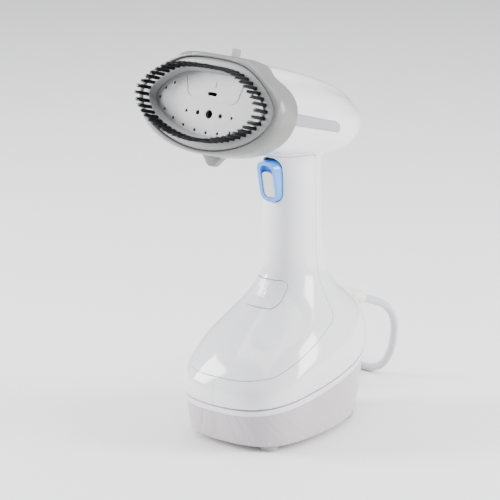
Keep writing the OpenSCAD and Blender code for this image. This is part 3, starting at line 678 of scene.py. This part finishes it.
def add_ring():
    ring = band("tuft_ring", [
        (0, -4.2, 0.6), (0, -2.9, 5.4), (0, -2.4, 6.15), (0, -1.9, 6.3), (0, -1.7, 5.6),
        (0, -1.5, 5), (0, 1.8, 5), (0, 3.6, 4.8), (0, 5, 4.4), (0, 5.9, 3.7), (0, 6.2, 3.0),
        (0, 6.2, 0), (0, 3, 0), (0, 0, 0.6),
    ], RING)
    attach(shade(ring, math.radians(50)), "brush")
    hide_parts("brush_ring")
    return ring


def loop_places(count):
    """Evenly spaced places along the tuft loop, in the plate's frame."""
    fine = 1440
    points = [Vector(head_xy(a, loop_r(a, 0))) for a in (
        2 * math.pi * i / fine for i in range(fine + 1)
    )]
    run = [0]
    for i in range(fine):
        run.append(run[-1] + (points[i + 1] - points[i]).length)
    places = []
    k = 0
    for i in range(count):
        goal = run[-1] * i / count
        while run[k + 1] < goal:
            k += 1
        t = (goal - run[k]) / (run[k + 1] - run[k])
        places.append(points[k].lerp(points[k + 1], t))
    return places


HAIRS = 34
HAIR_R = 0.17
TUFT_ROOT_R = 1.3
TUFT_ROOT_Z = 4.6
HAIR_SIDES = 4
HAIR_STEPS = 3


def add_tufts():
    """Each tuft is a bundle of thin hairs with slightly uneven tips."""
    draw = random.Random(7)
    points = []
    faces = []
    for place in loop_places(TUFTS):
        for hair in range(HAIRS):
            a = hair * 2.39996
            r = TUFT_ROOT_R * math.sqrt((hair + 0.5) / HAIRS)
            root = Vector((place.x + r * math.cos(a), place.y + r * math.sin(a)))
            lean = Vector((draw.uniform(-1, 1), draw.uniform(-1, 1))) * 0.35
            length = TUFT_LENGTH + 5 - TUFT_ROOT_Z - draw.uniform(0, 0.9)
            first = len(points)
            for step in range(HAIR_STEPS + 1):
                t = step / HAIR_STEPS
                thin = HAIR_R * (1 - 0.35 * t * t)
                for side in range(HAIR_SIDES):
                    b = 2 * math.pi * side / HAIR_SIDES + a
                    points.append(IN_HEAD @ Vector((
                        root.x + lean.x * t * t + thin * math.cos(b),
                        root.y + lean.y * t * t + thin * math.sin(b),
                        TUFT_ROOT_Z + length * t,
                    )))
            for step in range(HAIR_STEPS):
                for side in range(HAIR_SIDES):
                    low = first + step * HAIR_SIDES
                    k = (side + 1) % HAIR_SIDES
                    faces.append((low + side, low + k, low + HAIR_SIDES + k, low + HAIR_SIDES + side))
            tip = first + HAIR_STEPS * HAIR_SIDES
            faces.append(tuple(range(tip, tip + HAIR_SIDES)))
            faces.append(tuple(range(first, first + HAIR_SIDES)))
    hairs = solid("bristle_hairs", points, faces)
    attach(hairs, "brush")
    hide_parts("bristle_tufts")
    return hairs


# ---- water tank ----

TANK_COUNT = 528
RIB_DEPTH = 0.3
RIBS = 44
RIB_FAN = 0.5


def tank_section(row, drop):
    """Tank section with faint ribs pressed into it, which fan out from the front as the
    section drops from the top, 0, to the bottom, 1."""
    out = []
    for i, p in enumerate(foot_ring(row, 0, TANK_COUNT)):
        from_front = 2 * math.pi * (i + 0.5) / TANK_COUNT + math.pi / 2
        phase = from_front - RIB_FAN * drop * math.sin(from_front)
        wave = (0.5 + 0.5 * math.cos(RIBS * phase)) ** 6
        away = Vector((p.x, p.y - AXIS_Y - row[3], 0)).normalized()
        out.append(p - away * RIB_DEPTH * wave)
    return out


TICK_PITCH = 15
TICK_OUT = 0.2
TICK_IN = 0.5


def add_ticks(rings):
    """Pale upright marks in the tank's lower rim, evenly spaced around it."""
    count = len(rings[0])
    points = []
    faces = []
    run = 0
    for i in range(count):
        run += (rings[-1][i] - rings[-1][i - 1]).length
        if run < TICK_PITCH:
            continue
        run = 0
        first = len(points)
        for ring in rings:
            for k in (i, (i + 1) % count):
                away = Vector((ring[k].x, ring[k].y - AXIS_Y - TANK_ROWS[0][3], 0)).normalized()
                points.append(ring[k] + away * TICK_OUT)
                points.append(ring[k] - away * TICK_IN)
        last = first + 4 * (len(rings) - 1)
        faces.append((first, first + 1, first + 3, first + 2))
        faces.append((last, last + 2, last + 3, last + 1))
        for low in range(first, last, 4):
            faces.append((low, low + 2, low + 6, low + 4))
            faces.append((low + 1, low + 5, low + 7, low + 3))
            faces.append((low, low + 4, low + 5, low + 1))
            faces.append((low + 2, low + 3, low + 7, low + 6))
    ticks = solid("tank_marks", points, faces)
    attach(ticks, "tank")
    return ticks


def between(a, b, t):
    return [p + (q - p) * t for p, q in zip(a, b)]


def add_tank():
    low, curl, side, top = TANK_ROWS
    rows = [low, between(low, curl, 0.6), curl, between(curl, side, 0.5), side]
    rings = [foot_ring(row, 0, TANK_COUNT) for row in rows]
    ticks = add_ticks(rings)
    levels = 14
    for step in range(1, levels + 1):
        t = step / levels
        rings.append(tank_section(between(side, top, t), 1 - t))
    tank = loft("tank_shell", rings)
    rim = [(8 * math.cos(a), 8 * math.sin(a)) for a in (math.pi * i / 32 for i in range(64))]
    rear = Matrix.Translation((0, AXIS_Y + 68.5, 30)) @ Matrix.Rotation(-math.pi / 2, 4, "X")
    combine(tank, softened(prism("rim", rim, -9, 0, rear), 0.6), "UNION")
    for x in (-6.3, 4.3):
        lug = box_solid("lug", (x, AXIS_Y + 58, 17.8), (x + 2, AXIS_Y + 71.9, 22.2))
        combine(tank, softened(lug, 0.5), "UNION")
    hollow = []
    for row in (
        [TANK_Z + TANK_WALL, -78, 57, -35, FOOT_W - 7, 2.8, 2, 0],
        [TANK_Z + TANK_WALL + 1.6, -81, 60, -35, FOOT_W - 4.4, 2.8, 2, 0],
        [TANK_Z + 8, -82.5, 62, -35, FOOT_W - 3.4, 2.8, 2, 0.01],
        [DECK_Z - 3, -87, 70, -35, FOOT_W - 1.6, 2.7, 2, RISE],
    ):
        hollow.append(foot_ring(row, TANK_WALL, 96))
    combine(tank, loft("hollow", hollow), "DIFFERENCE")
    bore = [(6 * math.cos(a), 6 * math.sin(a)) for a in (math.pi * i / 32 for i in range(64))]
    combine(tank, prism("bore", bore, -22, 8, rear), "DIFFERENCE")
    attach(shade(tank), "tank")
    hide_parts("water_tank")
    return tank, ticks


# ---- materials ----

def material(name, colour, rough, metallic=0.0, coat=0.0, tint=0.04, grain=0.9, bump=0.05,
             soft=0.0, mottle=18.0):
    """Moulded or cast surface: slow colour drift, finer roughness marks and a skin of grain.
    grain is the size of its bumps and mottle the size of its drift, in millimetres."""
    mat = bpy.data.materials.new(name)
    mat.use_nodes = True
    tree = mat.node_tree
    shader = tree.nodes["Principled BSDF"]
    shader.inputs["Metallic"].default_value = metallic
    shader.inputs["Coat Weight"].default_value = coat
    shader.inputs["Coat Roughness"].default_value = 0.06
    shader.inputs["Subsurface Weight"].default_value = soft
    shader.inputs["Subsurface Radius"].default_value = (0.004, 0.003, 0.003)
    place = tree.nodes.new("ShaderNodeTexCoord")
    drift = tree.nodes.new("ShaderNodeTexNoise")
    drift.inputs["Scale"].default_value = 1000 / mottle
    drift.inputs["Detail"].default_value = 3
    shades = tree.nodes.new("ShaderNodeMix")
    shades.data_type = "RGBA"
    shades.inputs["A"].default_value = (*[c * (1 - tint) for c in colour], 1)
    shades.inputs["B"].default_value = (*[min(1, c * (1 + tint * 0.5)) for c in colour], 1)
    marks = tree.nodes.new("ShaderNodeTexNoise")
    marks.inputs["Scale"].default_value = 1000 / (mottle * 0.22)
    marks.inputs["Detail"].default_value = 5
    span = tree.nodes.new("ShaderNodeMapRange")
    span.inputs["To Min"].default_value = max(0.02, rough * 0.8)
    span.inputs["To Max"].default_value = min(1, rough * 1.25)
    skin = tree.nodes.new("ShaderNodeTexNoise")
    skin.inputs["Scale"].default_value = 1000 / grain
    relief = tree.nodes.new("ShaderNodeBump")
    relief.inputs["Strength"].default_value = bump
    relief.inputs["Distance"].default_value = 0.0002
    joins = tree.links
    joins.new(place.outputs["Object"], drift.inputs["Vector"])
    joins.new(place.outputs["Object"], marks.inputs["Vector"])
    joins.new(place.outputs["Object"], skin.inputs["Vector"])
    joins.new(drift.outputs["Fac"], shades.inputs["Factor"])
    joins.new(shades.outputs["Result"], shader.inputs["Base Color"])
    joins.new(marks.outputs["Fac"], span.inputs["Value"])
    joins.new(span.outputs["Result"], shader.inputs["Roughness"])
    joins.new(skin.outputs["Fac"], relief.inputs["Height"])
    joins.new(relief.outputs["Normal"], shader.inputs["Normal"])
    return mat


SLOTS = {
    "white_shell": material("white_gloss", (0.83, 0.83, 0.86), 0.12, coat=0.5, tint=0.015, bump=0.02),
    "button_white": material("button_gloss", (0.81, 0.81, 0.85), 0.16, coat=0.4, tint=0.02),
    "strip_grey": material("strip_satin", (0.36, 0.34, 0.38), 0.32, tint=0.04),
    "deck_grey": material("deck_satin", (0.7, 0.7, 0.71), 0.4),
    "plate_metal": material("plate_metal", (0.34, 0.34, 0.345), 0.38, metallic=0.4, tint=0.05, grain=0.6),
    "collar_grey": material("collar_satin", (0.2, 0.205, 0.195), 0.34, coat=0.15, tint=0.05),
    "ring_grey": material("ring_satin", (0.3, 0.3, 0.305), 0.36, tint=0.04),
    "bristle_black": material("bristle_black", (0.008, 0.008, 0.01), 0.42, tint=0.3, mottle=3.0),
    "latch_grey": material("latch_satin", (0.3, 0.3, 0.31), 0.35),
    "seal_rubber": material("seal_rubber", (0.07, 0.07, 0.075), 0.7, bump=0.2),
    "cast_metal": material("cast_metal", (0.42, 0.42, 0.44), 0.5, metallic=1, bump=0.5, grain=1.4),
    "sheet_metal": material("sheet_metal", (0.55, 0.55, 0.56), 0.28, metallic=1),
    "spring_steel": material("spring_steel", (0.5, 0.5, 0.52), 0.22, metallic=1),
    "dark_plastic": material("dark_plastic", (0.022, 0.022, 0.025), 0.45, bump=0.15),
    "trigger_blue": material("trigger_blue", (0.06, 0.3, 0.85), 0.2, coat=0.4, soft=0.1),
    "lock_grey": material("lock_satin", (0.62, 0.61, 0.6), 0.35),
    "plunger_red": material("plunger_red", (0.5, 0.03, 0.02), 0.4),
    "tank_tint": material("tank_frosted", (0.52, 0.48, 0.5), 0.34, coat=0.2, soft=0.35, tint=0.03,
                          bump=0.12, grain=0.7),
    "lid_white": material("lid_white", (0.8, 0.8, 0.84), 0.2, coat=0.3),
    "foot_grey": material("foot_grey", (0.42, 0.42, 0.44), 0.6, bump=0.2),
    "hose_clear": material("hose_milky", (0.66, 0.66, 0.62), 0.3, soft=0.3),
    "board_green": material("board_green", (0.01, 0.1, 0.03), 0.4),
    "cord_grey": material("cord_grey", (0.57, 0.57, 0.62), 0.42, bump=0.12, tint=0.05),
    "sleeve_cream": material("sleeve_cream", (0.82, 0.8, 0.76), 0.4, bump=0.12),
    "blade_brass": material("blade_brass", (0.7, 0.5, 0.2), 0.25, metallic=1),
}


def dress(obj, slot):
    obj.data.materials.clear()
    obj.data.materials.append(SLOTS[slot])


def smooth_cad(obj):
    """Smooth shading of a CAD node by modifiers, so that its own mesh stays as it is."""
    weld = obj.modifiers.new("weld", "WELD")
    weld.merge_threshold = 1e-6
    bevel = obj.modifiers.new("round", "BEVEL")
    bevel.width = 0.00025
    bevel.segments = 2
    bevel.limit_method = "ANGLE"
    bevel.angle_limit = math.radians(40)
    bevel.harden_normals = True


# ---- floor and light ----

FLOOR_HALF = 5


def add_stage():
    floor = link(bpy.data.meshes.new("floor"), "floor")
    shape = bmesh.new()
    bmesh.ops.create_grid(shape, x_segments=8, y_segments=8, size=FLOOR_HALF)
    shape.to_mesh(floor.data)
    shape.free()
    floor.data.materials.append(
        material("floor_pale", (0.93, 0.93, 0.93), 0.6, tint=0.01, bump=0.0, mottle=200.0)
    )


def add_light(name, place, aim, size, power, colour=(1, 1, 1)):
    lamp = bpy.data.lights.new(name, "AREA")
    lamp.shape = "RECTANGLE"
    lamp.size, lamp.size_y = size
    lamp.energy = power
    lamp.color = colour
    obj = bpy.data.objects.new(name, lamp)
    scene.collection.objects.link(obj)
    obj.location = place
    obj.rotation_euler = (Vector(aim) - Vector(place)).to_track_quat("-Z", "Y").to_euler()


WORLD_STRENGTH = 0.55


def add_lights():
    """A light on each side of the camera, so that the middle of each round form is darker,
    and a wide one above that brightens the floor."""
    world = bpy.data.worlds.new("studio")
    world.use_nodes = True
    sky = world.node_tree.nodes["Background"]
    sky.inputs["Color"].default_value = (0.95, 0.96, 1, 1)
    sky.inputs["Strength"].default_value = WORLD_STRENGTH
    scene.world = world
    middle = (0, 0, 0.16)
    add_light("left", (-1.3, -0.9, 0.75), middle, (0.7, 1.0), 48)
    add_light("right", (1.25, 0.75, 0.7), middle, (0.6, 1.0), 40)
    add_light("top", (0, 0.1, 1.9), middle, (2.2, 2.2), 62)


# ---- the object ----

rear_shell, cover_shell, strip_a, strip_b = add_shells()
collar = add_collar()
tuft_ring = add_ring()
hairs = add_tufts()
tank_shell, tank_marks = add_tank()

for entry in frame["record"]["subparts"]:
    node = nodes[entry["node"]]
    dress(node, entry["material_slot"])
    smooth_cad(node)

dress(rear_shell, "white_shell")
dress(cover_shell, "white_shell")
dress(strip_a, "strip_grey")
dress(strip_b, "strip_grey")
dress(collar, "collar_grey")
dress(tuft_ring, "ring_grey")
dress(hairs, "bristle_black")
dress(tank_shell, "tank_tint")
dress(tank_marks, "lid_white")
mains_cord.data.materials.append(SLOTS["cord_grey"])

add_stage()
add_lights()
